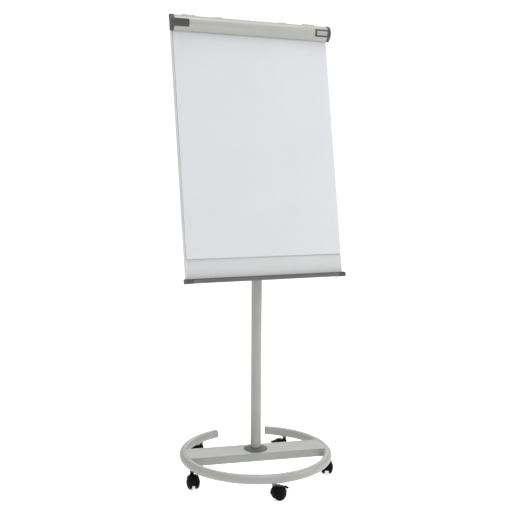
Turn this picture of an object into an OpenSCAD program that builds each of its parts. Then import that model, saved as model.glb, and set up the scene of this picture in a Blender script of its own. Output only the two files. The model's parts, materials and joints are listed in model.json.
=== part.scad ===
// Mobile flipchart easel: magnetic board with a paper clamp bar on a telescopic column,
// standing on an open ring with five twin-wheel castors.
// Millimetres, +Z up, front of the board towards -Y, origin on the floor under the column.

/* [Board] */
// Width of the board
board_w = 700; // [600:10:760]
// Length of the board from the foot of the pen tray to the top of the clamp bar
face_h = 1084.5; // [1082:0.5:1110]
// Thickness of the sandwich panel
panel_t = 15; // [12:1:18]
// How far the board leans back at rest, in degrees
lean = 10.5; // [5:0.5:15]
// Width of the front lip of the edge frame
frame_lip = 4.5; // [4:0.5:5]
// Width of the paper pad
pad_w = 690; // [580:5:690]
// Thickness of the stack of paper
paper_t = 3.2; // [2:0.2:3.2]

/* [Clamp bar] */
// Height of the clamp bar's profile
bar_h = 64.5; // [64:0.5:74]
// Radius of the profile's bulge
bulge_r = 30; // [28:0.5:30]
// Wall thickness of the profile
bar_wall = 2.2; // [1.6:0.1:2.6]

/* [Pen tray] */
// Depth of the tray in front of the board
tray_d = 22; // [18:1:30]
// Height of the tray's front wall
tray_front = 14; // [10:1:18]

/* [Column] */
// Height of the foot of the board's face above the floor
foot_z = 858.9; // [840:1:880]
// Outside diameter of the outer tube
column_d = 45; // [44:1:46]
// Outside diameter of the sliding inner tube
mast_d = 38; // [37:0.5:38.5]
// Height of the top of the height clamp
clamp_top = 908; // [900:1:910]

/* [Base] */
// Radius of the ring's centre line
ring_r = 310; // [290:5:330]
// Diameter of the ring's tube
ring_d = 38; // [36:1:40]
// Height of the ring's centre line above the floor
ring_z = 90; // [90:1:92]
// Angle of the opening at the back of the ring
ring_gap = 45.6; // [40:0.5:50]
// Turn of the base about the column, in degrees
base_turn = -9.23; // [-15:0.5:15]
// Width of the cross beam
beam_w = 121.6; // [100:2:130]
// Height of the cross beam
beam_h = 35.4; // [30:1:35]

/* [Castors] */
// Diameter of the castor wheels
wheel_d = 56; // [50:1:58]
// Width of one castor wheel
wheel_w = 18.7; // [16:0.5:20]
// Distance of the axle behind the stem
trail = 22; // [18:1:24]

/* [Hidden] */
$fn = 72;
running = 0.06;

powder = [0.70, 0.70, 0.68];
dark_plastic = [0.40, 0.41, 0.39];
black_plastic = [0.06, 0.06, 0.06];
steel = [0.72, 0.72, 0.74];

// ---------- places shared by several parts ----------
foot_y = -112.4;
tray_t = 1.6;
panel_bottom = tray_t;
panel_top = 1070;
pivot_z = 1190;
pivot_h = -foot_y * sin(lean) + (pivot_z - foot_z) * cos(lean);
pivot_back = -foot_y * cos(lean) - (pivot_z - foot_z) * sin(lean);
frame_t = 1.2;
back_y = panel_t + frame_t;
bar_z = face_h - bar_h;
bar_len = board_w - 10;
bar_back = -5;
bulge = [-9.5, bar_h - bulge_r];
nose_r = 6.5;
nose = [-12, nose_r];
bar_axis = [-1, face_h + 5];
pin_r = 2;
hook_peg_z = 1050;
pad_bottom = 97;
pad_top = 1040;
backing_t = 1;

beam_top = 108;
beam_t = 2.5;
wall = 2;
tube_in = column_d / 2 - wall;
mast_r = mast_d / 2;
mast_wall = 1.5;
column_top = clamp_top - 10;
mast_top = 1145;
mast_bottom = clamp_top - 180;
head_z = mast_top + 3.3;
swivel_r = 8;
tilt_r = 6;
lug_x = 15;
cheek_t = 4;
knob_screw_z = clamp_top - 22;
screw_r = 4;

axle_z = wheel_d / 2;
axle_r = 4;
stem_r = 5;
web_w = 17;
wheel_in = 9.3;
hood_r = wheel_d / 2 + 5;
brake_dist = hood_r - 1.5;
brake_at = [trail + brake_dist * cos(47), axle_z + brake_dist * sin(47)];
brake_pin_r = 1.2;
brake_w = 22;
castors = [
    // place on the ring, direction of trail
    [198, -95], [270, 8], [342, 67], [50.5, 165], [129.5, 160]
];

// ---------- frames of reference ----------
module in_board() {
    translate([0, foot_y, foot_z]) rotate([-lean, 0, 0]) children();
}
module in_base() {
    rotate([0, 0, base_turn]) children();
}
module at_castor(n) {
    place = castors[n - 1];
    rotate([0, 0, base_turn + place[0]]) translate([ring_r, 0, 0])
        rotate([0, 0, place[1] - place[0] - base_turn]) children();
}
// Extrudes a profile drawn in (y, z) along X, between x0 and x1.
module along_x(x0, x1) {
    translate([x0, 0, 0]) rotate([90, 0, 90]) linear_extrude(x1 - x0) children();
}
module rod_x(r, x0, x1) {
    translate([x0, 0, 0]) rotate([0, 90, 0]) cylinder(r = r, h = x1 - x0);
}
module both_sides() {
    children();
    mirror([1, 0, 0]) children();
}
function arc(centre, r, a0, a1, steps) =
    [for (i = [0 : steps]) let (a = a0 + (a1 - a0) * i / steps) centre + r * [cos(a), sin(a)]];
function reversed(list) = [for (i = [len(list) - 1 : -1 : 0]) list[i]];

// ---------- base ----------
module torus(r, start = 0, angle = 360) {
    rotate([0, 0, start]) rotate_extrude(angle = angle) translate([ring_r, 0]) circle(r = r);
}
module at_each_castor() {
    for (place = castors)
        rotate([0, 0, base_turn + place[0]]) translate([ring_r, 0, 0]) children();
}
socket_r = 8;
socket_bottom = ring_z - ring_d / 2 - 2;
module ring_tube() color(powder) difference() {
    in_base() translate([0, 0, ring_z]) difference() {
        torus(ring_d / 2, 90 + ring_gap / 2, 360 - ring_gap);
        torus(ring_d / 2 - wall, 90 + ring_gap / 2 - 1, 362 - ring_gap);
    }
    at_each_castor() translate([0, 0, socket_bottom - 5]) cylinder(r = socket_r, h = 25);
}
module ring_end_plugs() color(dark_plastic) in_base() for (side = [-1, 1])
    rotate([0, 0, 90 + side * ring_gap / 2]) translate([ring_r, 0, ring_z])
        rotate([side * 90, 0, 0]) {
            cylinder(r = ring_d / 2 + 0.3, h = 3.5);
            translate([0, 0, -14]) difference() {
                cylinder(r = ring_d / 2 - wall - 1, h = 14);
                translate([0, 0, -1]) cylinder(r = ring_d / 2 - wall - 3, h = 13);
            }
        }
module beam_box(shrink) {
    translate([-ring_r, -beam_w / 2 + shrink, beam_top - beam_h + shrink])
        cube([2 * ring_r, beam_w - 2 * shrink, beam_h - 2 * shrink]);
}
bolt_ring_r = 29;
bolt_r = 3;
bolt_head_r = 6;
flange_t = 4;
module cross_beam() color(powder) in_base() difference() {
    intersection() {
        beam_box(0);
        cylinder(r = ring_r, h = 2 * ring_z, $fn = 144);
    }
    beam_box(beam_t);
    translate([0, 0, ring_z]) torus(ring_d / 2);
    at_flange_bolts() translate([0, 0, beam_top - 5]) cylinder(r = bolt_r, h = 10);
}
module at_flange_bolts() {
    for (a = [45 : 90 : 315]) rotate([0, 0, a]) translate([bolt_ring_r, 0, 0]) children();
}
module castor_sockets() color(steel) at_each_castor() translate([0, 0, socket_bottom]) difference() {
    cylinder(r = socket_r, h = 36);
    translate([0, 0, -1]) cylinder(r = stem_r, h = 30);
}
module castor_stems() color(steel) at_each_castor() {
    translate([0, 0, 38]) cylinder(r = stem_r, h = socket_bottom + 29 - 38);
    translate([0, 0, 63.5]) cylinder(r = 9, h = socket_bottom - 63.5);
}

// ---------- column and height clamp ----------
module tube(r_out, r_in, z0, z1) {
    translate([0, 0, z0]) difference() {
        cylinder(r = r_out, h = z1 - z0);
        translate([0, 0, -1]) cylinder(r = r_in, h = z1 - z0 + 2);
    }
}
module screw_hole(r) {
    in_base() translate([0, 0, knob_screw_z]) rotate([-90, 0, 0]) cylinder(r = r, h = 60);
}
module column_tube() color(powder) difference() {
    tube(column_d / 2, tube_in, beam_top + flange_t, column_top);
    screw_hole(screw_r + running);
}
module bolt_head() {
    translate([0, 0, beam_top + flange_t - 3]) cylinder(r1 = bolt_r, r2 = bolt_head_r, h = 3);
}
module column_flange() color(steel) in_base() difference() {
    translate([0, 0, beam_top]) cylinder(r = 37, h = flange_t);
    at_flange_bolts() {
        translate([0, 0, beam_top - 1]) cylinder(r = bolt_r, h = flange_t + 2);
        bolt_head();
    }
}
module flange_bolts() color(steel) in_base() at_flange_bolts() {
    translate([0, 0, beam_top - 12]) cylinder(r = bolt_r, h = 12 + flange_t - 1);
    bolt_head();
    translate([0, 0, beam_top - beam_t - 5]) cylinder(r = 5.8, h = 5, $fn = 6);
}
cover_r = 51.5;
cover_h = 15;
dome_r = 95;
module cover_profile(inset) {
    intersection() {
        square([cover_r - inset, cover_h]);
        translate([0, cover_h - dome_r - inset]) circle(r = dome_r, $fn = 180);
    }
}
module column_cover() color(dark_plastic) translate([0, 0, beam_top]) difference() {
    rotate_extrude() cover_profile(0);
    translate([0, 0, -0.01]) rotate_extrude() cover_profile(2.5);
    translate([0, 0, -1]) cylinder(r = column_d / 2 + 0.1, h = 40);
}
module clamp_collar() color(black_plastic) difference() {
    union() {
        translate([0, 0, clamp_top - 40]) cylinder(r = 27, h = 40);
        in_base() translate([0, 20, knob_screw_z]) rotate([-90, 0, 0]) cylinder(r = 11, h = 22);
    }
    translate([0, 0, clamp_top - 41]) cylinder(r = column_d / 2, h = column_top - clamp_top + 41);
    cylinder(r = mast_r + 0.5, h = clamp_top + 1);
    screw_hole(screw_r + running);
}
module guide_bush() color(black_plastic)
    tube(tube_in, mast_r + running, clamp_top - 100, knob_screw_z - 12);
module height_screw() color(steel) in_base() translate([0, mast_r + 0.4, knob_screw_z])
    rotate([-90, 0, 0]) cylinder(r = screw_r, h = 40);
// Star grip on a screw end: a round hub with lobes, its bore along Z.
module star_grip(r, h, bore) difference() {
    union() {
        cylinder(r = r - 3, h = h);
        for (a = [0 : 60 : 300]) rotate([0, 0, a]) translate([r - 6, 0, 0]) cylinder(r = 6, h = h);
        translate([0, 0, -4]) cylinder(r = 9, h = 4);
    }
    translate([0, 0, -5]) cylinder(r = bore, h = h + 2);
}
module height_knob() color(black_plastic) in_base() translate([0, 46.5, knob_screw_z])
    rotate([-90, 0, 0]) star_grip(21, 18, screw_r);

// ---------- sliding mast and swivel head ----------
module mast_tube() color(powder) tube(mast_r, mast_r - mast_wall, mast_bottom, mast_top);
module mast_glide() color(black_plastic) {
    translate([0, 0, mast_bottom - 8]) cylinder(r = tube_in - 0.1, h = 8);
    translate([0, 0, mast_bottom]) cylinder(r = mast_r - mast_wall, h = 18);
}
module mast_plug() color(steel) {
    translate([0, 0, mast_top - 30]) cylinder(r = mast_r - mast_wall, h = 30);
    translate([0, 0, mast_top]) cylinder(r = mast_r, h = 3);
    translate([0, 0, mast_top + 3]) cylinder(r = swivel_r, h = 17);
}
module head_block() color(dark_plastic) difference() {
    union() {
        translate([0, 0, head_z]) cylinder(r = 24, h = 17);
        intersection() {
            translate([-lug_x, -20, head_z]) cube([2 * lug_x, 40, pivot_z - head_z]);
            translate([0, 0, head_z]) cylinder(r = 24, h = 60);
        }
        translate([0, 0, pivot_z]) rod_x(18, -lug_x, lug_x);
    }
    translate([0, 0, head_z - 1]) cylinder(r = swivel_r + running, h = 19);
    translate([0, 0, pivot_z]) rod_x(tilt_r + running, -40, 40);
}
plate_h = 120;
module cheek() difference() {
    union() {
        along_x(lug_x + 0.3, lug_x + 0.3 + cheek_t)
            polygon([[back_y + 3, pivot_h - 26], [back_y + 3, pivot_h + 34],
                     [pivot_back, pivot_h + 16], [pivot_back, pivot_h - 16]]);
        translate([0, pivot_back, pivot_h]) rod_x(16, lug_x + 0.3, lug_x + 0.3 + cheek_t);
    }
    translate([0, pivot_back, pivot_h]) rod_x(tilt_r, 0, 40);
}
module at_bracket_screws() {
    for (x = [-48, 48], z = [-46, 46]) translate([x, back_y, pivot_h + z]) rotate([-90, 0, 0]) children();
}
module hinge_bracket() color(powder) in_board() {
    difference() {
        translate([-60, back_y, pivot_h - plate_h / 2]) cube([120, 3, plate_h]);
        at_bracket_screws() translate([0, 0, -5]) cylinder(r = 2.5, h = 10);
    }
    both_sides() cheek();
}
module bracket_screws() color(steel) in_board() at_bracket_screws() {
    translate([0, 0, 3]) cylinder(r1 = 5, r2 = 3.5, h = 2.4);
    translate([0, 0, -10]) cylinder(r = 2.5, h = 13);
}
cheek_out = lug_x + 0.3 + cheek_t;
module tilt_bolt() color(steel) in_board() translate([0, pivot_back, pivot_h]) {
    rod_x(tilt_r, -cheek_out, cheek_out + 23);
    translate([-cheek_out - 5, 0, 0]) rotate([0, 90, 0]) cylinder(r = 10, h = 5, $fn = 6);
}
module tilt_knob() color(black_plastic) in_board()
    translate([cheek_out + 4.5, pivot_back, pivot_h]) rotate([0, 90, 0])
        star_grip(23, 22, tilt_r + running);

// ---------- board ----------
half_panel = board_w / 2 - frame_t;
face_t = 0.5;
module slab(half_x, y0, y1, z0, z1) {
    translate([-half_x, y0, z0]) cube([2 * half_x, y1 - y0, z1 - z0]);
}
module pilot_holes() {
    at_bracket_screws() translate([0, 0, -10]) cylinder(r = 2.5, h = 11);
}
module face_sheet() color([0.84, 0.85, 0.86]) in_board()
    slab(half_panel, 0, face_t, panel_bottom, panel_top);
module board_core() color([0.76, 0.66, 0.5]) in_board() difference() {
    slab(half_panel, face_t, panel_t - face_t, panel_bottom, panel_top);
    pilot_holes();
}
module back_sheet() color([0.72, 0.73, 0.73]) in_board() difference() {
    slab(half_panel, panel_t - face_t, panel_t, panel_bottom, panel_top);
    pilot_holes();
}
// Channel that wraps one edge of the panel, drawn in (x, y) with the web on the right.
module edge_channel() {
    difference() {
        translate([half_panel - frame_lip + frame_t, -frame_t])
            square([frame_lip, panel_t + 2 * frame_t]);
        square([half_panel, panel_t]);
    }
}
module side_frames() color([0.8, 0.81, 0.8]) in_board() both_sides()
    translate([0, 0, panel_bottom]) linear_extrude(panel_top - panel_bottom) edge_channel();
module top_frame() color([0.8, 0.81, 0.8]) in_board() along_x(-board_w / 2, board_w / 2)
    translate([-frame_t, panel_top]) square([panel_t + 2 * frame_t, frame_t]);
tray_back = back_y + 2;
tray_half = board_w / 2 + 3;
// Pen tray: floor, front wall and a shelf that the board's lower edge stands on.
module tray_outline() {
    translate([-tray_d, 0]) square([tray_d + tray_back, tray_t]);
    translate([-tray_d, 0]) square([tray_t, tray_front]);
    translate([tray_back - tray_t, 0]) square([tray_t, 18]);
    translate([-frame_t - tray_t, 0]) square([tray_t, 19]);
}
module pen_tray() color(dark_plastic) in_board() along_x(-tray_half, tray_half) tray_outline();
cap_len = 27;
cap_t = 0.8;
module tray_caps() color([0.3, 0.31, 0.3]) in_board() both_sides() {
    along_x(tray_half, tray_half + 2)
        translate([-tray_d - cap_t, -cap_t]) square([tray_d + tray_back + 2 * cap_t, tray_front + 6]);
    along_x(tray_half - cap_len, tray_half) {
        translate([-tray_d - cap_t, -cap_t]) square([tray_d + tray_back + 2 * cap_t, cap_t]);
        translate([-tray_d - cap_t, -cap_t]) square([cap_t, tray_front + cap_t]);
    }
}
block_x = [246, 298];
slot_x = [262.2, 281.8];
module hinge_blocks() color([0.8, 0.8, 0.79]) in_board() both_sides() difference() {
    along_x(block_x[0], block_x[1]) difference() {
        translate([-4, panel_top + frame_t]) square([16, face_h + 11 - panel_top - frame_t]);
        translate([-8, face_h + 11]) rotate(45) translate([0, -3]) square([6, 6]);
    }
    along_x(slot_x[0], slot_x[1]) translate([-10, face_h - 2]) square([30, 20]);
    translate([0, bar_axis[0], bar_axis[1]]) rod_x(pin_r, block_x[0] + 4, block_x[1] - 4);
}
module hinge_pins() color(steel) in_board() both_sides()
    translate([0, bar_axis[0], bar_axis[1]]) rod_x(pin_r, block_x[0] + 4, block_x[1] - 4);
rail_y = [3, 11];
rail_top = 1079;
module hook_rail() color(steel) in_board() along_x(-240, 240)
    translate([rail_y[0], panel_top + frame_t])
        square([rail_y[1] - rail_y[0], rail_top - panel_top - frame_t]);
module pad_backing() color([0.7, 0.6, 0.46]) in_board()
    slab(pad_w / 2, -backing_t, 0, pad_bottom, pad_top);
module paper_pad() color([0.95, 0.95, 0.96]) in_board()
    slab(pad_w / 2, -backing_t - paper_t, -backing_t, pad_bottom, pad_top);

// ---------- clamp bar ----------
// The outline runs over the bulge and round the nose; both arcs meet at their shared tangent.
nose_gap = bulge - nose;
tangent = atan2(nose_gap[1], nose_gap[0]) + acos((nose_r - bulge_r) / norm(nose_gap));
function bar_curve(grow) = concat(
    arc(bulge, bulge_r + grow, 90, tangent, 20), arc(nose, nose_r + grow, tangent, 360, 10));
module at_bar() {
    in_board() translate([0, 0, bar_z]) children();
}
module clamp_bar() color([0.74, 0.75, 0.72]) at_bar() along_x(-bar_len / 2, bar_len / 2)
    polygon(concat([[bar_back, bar_h]], bar_curve(0), reversed(bar_curve(-bar_wall)),
                   [[bar_back, bar_h - bar_wall]]));
cap_grow = 1.5;
cap_end = 13;
tab_x = [284, bar_len / 2];
tab_t = 2;
tab_from = 167;
tab_to = 226;
module bar_cap() {
    along_x(bar_len / 2, bar_len / 2 + cap_end)
        polygon(concat([[bar_back, bar_h + cap_grow]], bar_curve(cap_grow),
                       [[bar_back, nose_r]]));
    along_x(tab_x[0], tab_x[1])
        polygon(concat(arc(bulge, bulge_r + tab_t, tab_from, tab_to, 16),
                       reversed(arc(bulge, bulge_r, tab_from, tab_to, 16))));
}
module bar_cap_left() color([0.36, 0.36, 0.34]) at_bar() mirror([1, 0, 0]) bar_cap();
module bar_cap_right() color([0.36, 0.36, 0.34]) at_bar() bar_cap();
module bar_lugs() color(steel) in_board() both_sides() difference() {
    union() {
        translate([0, bar_axis[0], bar_axis[1]]) rod_x(5, slot_x[0] + 0.4, slot_x[1] - 0.4);
        translate([slot_x[0] + 0.4, -10, face_h])
            cube([slot_x[1] - slot_x[0] - 0.8, 8, 4]);
    }
    translate([0, bar_axis[0], bar_axis[1]]) rod_x(pin_r + running, slot_x[0], slot_x[1]);
}
module grip_strip() color(black_plastic) at_bar() along_x(-pad_w / 2, pad_w / 2) difference() {
    translate([-8, 2.5]) square([3.5, 8]);
    translate(nose) circle(r = nose_r);
}
rail_play = 0.4;
carrier_rise = 8.5;
// Sliding hook: a carrier over the rail with an arm and a peg in front of the board.
module hook(x) color([0.78, 0.78, 0.77]) in_board() translate([x, 0, 0]) {
    along_x(-17.5, 17.5) difference() {
        translate([-4.4, panel_top + 5]) square([18, face_h + carrier_rise - panel_top - 5]);
        translate([rail_y[0] - rail_play, panel_top])
            square([rail_y[1] - rail_y[0] + 2 * rail_play, rail_top + rail_play - panel_top]);
    }
    along_x(-6, 6) translate([-4.4, hook_peg_z - 6]) square([2.7, 40]);
    translate([0, -4.4, hook_peg_z]) rotate([90, 0, 0]) cylinder(r = 3, h = 12);
}
module hook_left() hook(-143);
module hook_right() hook(148);

// ---------- castors: the stem stands at the origin and the axle trails along +X ----------
module rod_y(r, half) {
    translate([0, half, 0]) rotate([90, 0, 0]) cylinder(r = r, h = 2 * half);
}
module castor_hood() difference() {
    intersection() {
        translate([trail, 0, axle_z]) rod_y(hood_r, 28.5);
        translate([trail - 60, -40, axle_z - 4]) cube([120, 80, 80]);
    }
    both_wheels() translate([trail, 0, axle_z]) rotate([-90, 0, 0])
        translate([0, 0, web_w / 2]) cylinder(r = hood_r - 3, h = 40);
    translate([trail, -40, -30]) rotate([0, -18, 0]) cube([80, 80, 52]);
}
module castor_housing(n) color(black_plastic) at_castor(n) difference() {
    union() {
        castor_hood();
        translate([trail, 0, axle_z]) rod_y(17, web_w / 2);
        translate([0, 0, 36]) cylinder(r = 8, h = 26.5);
    }
    translate([0, 0, 37]) cylinder(r = stem_r + running, h = 40);
    translate([trail, 0, axle_z]) rod_y(axle_r, 30);
    translate([brake_at[0], 0, brake_at[1]]) {
        rod_y(brake_pin_r + running, 14);
        rod_y(3.6, brake_w / 2 + 0.3);
        translate([-1, -brake_w / 2 - 0.3, -20]) cube([40, brake_w + 0.6, 54]);
    }
}
module both_wheels() {
    children();
    mirror([0, 1, 0]) children();
}
module castor_axle(n) color(steel) at_castor(n) translate([trail, 0, axle_z]) rod_y(axle_r, 26);
// Domed twin wheels with a flat tread.
module wheel_profile() {
    difference() {
        intersection() {
            square([wheel_d / 2, wheel_w]);
            translate([-12, -2]) circle(r = 43, $fn = 180);
            translate([0, wheel_w - 60]) circle(r = 60, $fn = 180);
        }
        square([2 * (axle_r + running), wheel_w * 3], center = true);
    }
}
module castor_wheels(n) color(black_plastic) at_castor(n) both_wheels()
    translate([trail, wheel_in, axle_z]) rotate([-90, 0, 0]) rotate_extrude() wheel_profile();
module castor_brake(n) color(black_plastic) at_castor(n) translate([brake_at[0], 0, brake_at[1]]) {
    rotate([0, 21, 0]) translate([0, brake_w / 2, 0]) rotate([90, 0, 0]) linear_extrude(brake_w) {
        circle(r = 3);
        polygon([[0, -2.4], [12.5, -2.4], [12.5, -4.4], [20, -4.4], [20, 3.2], [12.5, 3.2],
                 [12.5, 2.4], [0, 2.4]]);
    }
    rod_y(brake_pin_r, 14);
}

ring_tube();
ring_end_plugs();
cross_beam();
castor_sockets();
castor_stems();
column_tube();
column_flange();
flange_bolts();
column_cover();
clamp_collar();
guide_bush();
height_screw();
height_knob();
mast_tube();
mast_glide();
mast_plug();
head_block();
hinge_bracket();
bracket_screws();
tilt_bolt();
tilt_knob();
face_sheet();
board_core();
back_sheet();
side_frames();
top_frame();
pen_tray();
tray_caps();
hinge_blocks();
hinge_pins();
hook_rail();
pad_backing();
paper_pad();
clamp_bar();
bar_cap_left();
bar_cap_right();
bar_lugs();
grip_strip();
hook_left();
hook_right();
for (n = [1 : 5]) {
    castor_housing(n);
    castor_axle(n);
    castor_wheels(n);
    castor_brake(n);
}
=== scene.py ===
"""Looks of the mobile flipchart easel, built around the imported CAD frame.

Shapes are drawn in millimetres in the local frame of the part they belong to: board, base or castor.
The main sizes are read from the CAD nodes; the numbers here are details that the CAD leaves out.
"""

import json
from math import acos, asin, atan2, cos, degrees, exp, hypot, pi, radians, sin, sqrt, tan

import bmesh
import bpy
from mathutils import Matrix, Vector, noise


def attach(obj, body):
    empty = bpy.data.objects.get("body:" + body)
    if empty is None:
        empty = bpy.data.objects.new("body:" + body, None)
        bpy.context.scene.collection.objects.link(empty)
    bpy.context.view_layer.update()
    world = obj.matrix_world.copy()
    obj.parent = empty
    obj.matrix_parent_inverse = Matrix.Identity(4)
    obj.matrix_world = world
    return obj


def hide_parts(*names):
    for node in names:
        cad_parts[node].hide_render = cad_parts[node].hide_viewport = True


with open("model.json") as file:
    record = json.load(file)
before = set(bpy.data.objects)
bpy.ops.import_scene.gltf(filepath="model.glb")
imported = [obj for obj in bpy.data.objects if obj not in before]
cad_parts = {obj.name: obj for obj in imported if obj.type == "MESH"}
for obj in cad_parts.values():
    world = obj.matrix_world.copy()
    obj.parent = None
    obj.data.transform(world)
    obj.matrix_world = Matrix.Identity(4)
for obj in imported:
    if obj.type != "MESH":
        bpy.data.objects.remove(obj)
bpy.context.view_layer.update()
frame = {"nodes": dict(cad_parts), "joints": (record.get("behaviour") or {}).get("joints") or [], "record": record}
nodes = frame["nodes"]
joints = {joint["name"]: joint for joint in frame["joints"]}
body_of = {node: body for body, own in frame["record"]["behaviour"]["bodies"].items() for node in own}


# ---------- local frames, worked out from the joints and mounts ----------
def joint_place(name):
    """(position in metres, unit axis) of a joint."""
    joint = joints[name]
    return Vector(joint["pos_m"]), Vector(joint["axis"]).normalized()


def board_place():
    """x to the viewer's right, -y out of the face, z up the board from its foot."""
    mount = next(m for m in frame["record"]["mounts"] if m["name"] == "tray_floor")
    turn = Matrix.Rotation(-asin(mount["axis"][1]), 4, "X")
    before_face, above_foot = 0.011, 0.0016
    foot = Vector(mount["pos_m"]) + (turn @ Vector((0, before_face, -above_foot)))
    return Matrix.Translation(foot) @ turn


def castor_place(number):
    """Stem at the origin, the axle behind it along +x."""
    stem, _ = joint_place(f"castor_{number}_swivel")
    axle, _ = joint_place(f"castor_{number}_roll")
    turn = atan2(axle.y - stem.y, axle.x - stem.x)
    return Matrix.Translation((stem.x, stem.y, 0)) @ Matrix.Rotation(turn, 4, "Z")


def extent(node, place):
    """Lowest and highest corner of a CAD node in a local frame, in millimetres."""
    back = place.inverted()
    points = [back @ v.co * 1000 for v in nodes[node].data.vertices]
    return [Vector([pick(p[i] for p in points) for i in range(3)]) for pick in (min, max)]


WORLD = Matrix.Identity(4)
BOARD = board_place()
_, knob_axis = joint_place("height_knob_turn")
BASE = Matrix.Rotation(atan2(-knob_axis.x, knob_axis.y), 4, "Z")
CASTORS = {number: castor_place(number) for number in range(1, 6)}


# ---------- outlines ----------
def arc(centre, radius, start, end, steps):
    """Points on a circle's arc; the angles are in degrees."""
    turns = [radians(start + (end - start) * i / steps) for i in range(steps + 1)]
    return [(centre[0] + radius * cos(t), centre[1] + radius * sin(t)) for t in turns]


def fillet(points, radius, steps=4, closed=True):
    """An outline with its corners rounded. radius is one number, or one for each point."""
    points = [Vector(p) for p in points]
    made = []
    for i, corner in enumerate(points):
        r = radius[i] if hasattr(radius, "__len__") else radius
        if r <= 0 or (not closed and i in (0, len(points) - 1)):
            made.append(tuple(corner))
            continue
        before = points[i - 1] - corner
        after = points[(i + 1) % len(points)] - corner
        shorter = min(before.length, after.length)
        before.normalize()
        after.normalize()
        half = before.angle(after) / 2
        if half > radians(88):
            made.append(tuple(corner))
            continue
        cut = min(r / tan(half), 0.48 * shorter)
        r = cut * tan(half)
        centre = corner + (before + after).normalized() * (r / sin(half))
        first, last = corner + before * cut - centre, corner + after * cut - centre
        sweep = pi - 2 * half
        for k in range(steps + 1):
            t = k / steps
            spoke = (first * sin((1 - t) * sweep) + last * sin(t * sweep)) / sin(sweep)
            made.append(tuple(centre + spoke))
    return made


def rectangle(x0, x1, y0, y1):
    return [(x0, y0), (x1, y0), (x1, y1), (x0, y1)]


def hexagon(radius, height):
    return [(radius * cos(k * pi / 3), radius * sin(k * pi / 3), height) for k in range(6)]


def at(x, y, z, angle=0, axis="X"):
    """A place in millimetres, turned by some degrees about one axis."""
    return Matrix.Translation((x, y, z)) @ Matrix.Rotation(radians(angle), 4, axis)


# ---------- mesh building ----------
AXES = {
    "x": lambda along, a, b: (along, a, b),
    "y": lambda along, a, b: (a, along, b),
    "z": lambda along, a, b: (a, b, along),
}


class Shape:
    """A mesh being built, in millimetres in its own frame."""

    def __init__(self):
        self.bm = bmesh.new()

    def loft(self, rings, loop=False, caps=True, place=None):
        """Skins rings of equally many points, each ring closed on itself."""
        put = (lambda p: place @ Vector(p)) if place else Vector
        rows = [[self.bm.verts.new(put(p)) for p in ring] for ring in rings]
        count = len(rows[0])
        pairs = list(zip(rows, rows[1:])) + ([(rows[-1], rows[0])] if loop else [])
        for a, b in pairs:
            for i in range(count):
                j = (i + 1) % count
                self.bm.faces.new((a[i], a[j], b[j], b[i]))
        if caps and not loop:
            self.bm.faces.new(rows[0][::-1])
            self.bm.faces.new(rows[-1])
        return self

    def turned(self, profile, steps=48, place=None, loop=False):
        """Turns a (radius, height) profile about the frame's z axis."""
        spokes = [2 * pi * i / steps for i in range(steps)]
        rings = [[(r * cos(t), r * sin(t), h) for t in spokes] for r, h in profile]
        return self.loft(rings, loop=loop, caps=not loop, place=place)

    def extrude(self, outline, axis, low, high, place=None, cuts=1):
        """Pushes a closed outline along an axis; its points are the other two coordinates, in order."""
        stops = [low + (high - low) * i / cuts for i in range(cuts + 1)]
        return self.loft([[AXES[axis](s, a, b) for a, b in outline] for s in stops], place=place)

    def bead(self, path, radius, loop=False, sides=10):
        """A round bead, such as a weld, along a list of 3D points."""
        path = [Vector(p) for p in path]
        count = len(path)
        ahead = [(path[(i + 1) % count] if loop or i < count - 1 else path[i])
                 - (path[i - 1] if loop or i else path[i]) for i in range(count)]
        sides_out = [ahead[0].orthogonal().normalized()]
        for i in range(1, count + 1):
            sides_out.append(ahead[i - 1].rotation_difference(ahead[i % count]) @ sides_out[-1])
        across = ahead[0].normalized().cross(sides_out[0])
        twist = atan2(sides_out[-1].dot(across), sides_out[-1].dot(sides_out[0])) if loop else 0.0
        rings = []
        for i, point in enumerate(path):
            side = Matrix.Rotation(-twist * i / count, 3, ahead[i]) @ sides_out[i]
            up = ahead[i].normalized().cross(side)
            swell = radius * (1 + 0.10 * noise.noise(point * 0.15))
            rings.append([point + (side * cos(a) + up * sin(a)) * swell
                          for a in (2 * pi * k / sides for k in range(sides))])
        return self.loft(rings, loop=loop)

    def face(self, points):
        """One flat face; its corners weld to the neighbours' in soften() or mesh()."""
        self.bm.faces.new([self.bm.verts.new(p) for p in points])
        return self

    def merge(self, other):
        """Takes over another shape's faces."""
        scratch = bpy.data.meshes.new("scratch")
        other.bm.to_mesh(scratch)
        other.bm.free()
        self.bm.from_mesh(scratch)
        bpy.data.meshes.remove(scratch)
        return self

    def soften(self, width, segments=2, sharper_than=50):
        """Rounds every edge that turns by more than the given angle."""
        bm = self.bm
        bmesh.ops.remove_doubles(bm, verts=bm.verts, dist=1e-4)
        bmesh.ops.recalc_face_normals(bm, faces=bm.faces)
        limit = radians(sharper_than)
        edges = [e for e in bm.edges if len(e.link_faces) == 2 and e.calc_face_angle(0) > limit]
        bmesh.ops.bevel(bm, geom=edges, offset=width, segments=segments, profile=0.5,
                        affect="EDGES", clamp_overlap=True)
        return self

    def mesh(self, name):
        bm = self.bm
        bmesh.ops.remove_doubles(bm, verts=bm.verts, dist=1e-4)
        bmesh.ops.dissolve_degenerate(bm, edges=bm.edges, dist=1e-5)
        bmesh.ops.recalc_face_normals(bm, faces=bm.faces)
        bmesh.ops.scale(bm, vec=(0.001,) * 3, verts=bm.verts)
        data = bpy.data.meshes.new(name)
        bm.to_mesh(data)
        bm.free()
        data.shade_smooth()
        data.set_sharp_from_angle(angle=radians(38))
        return data


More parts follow.
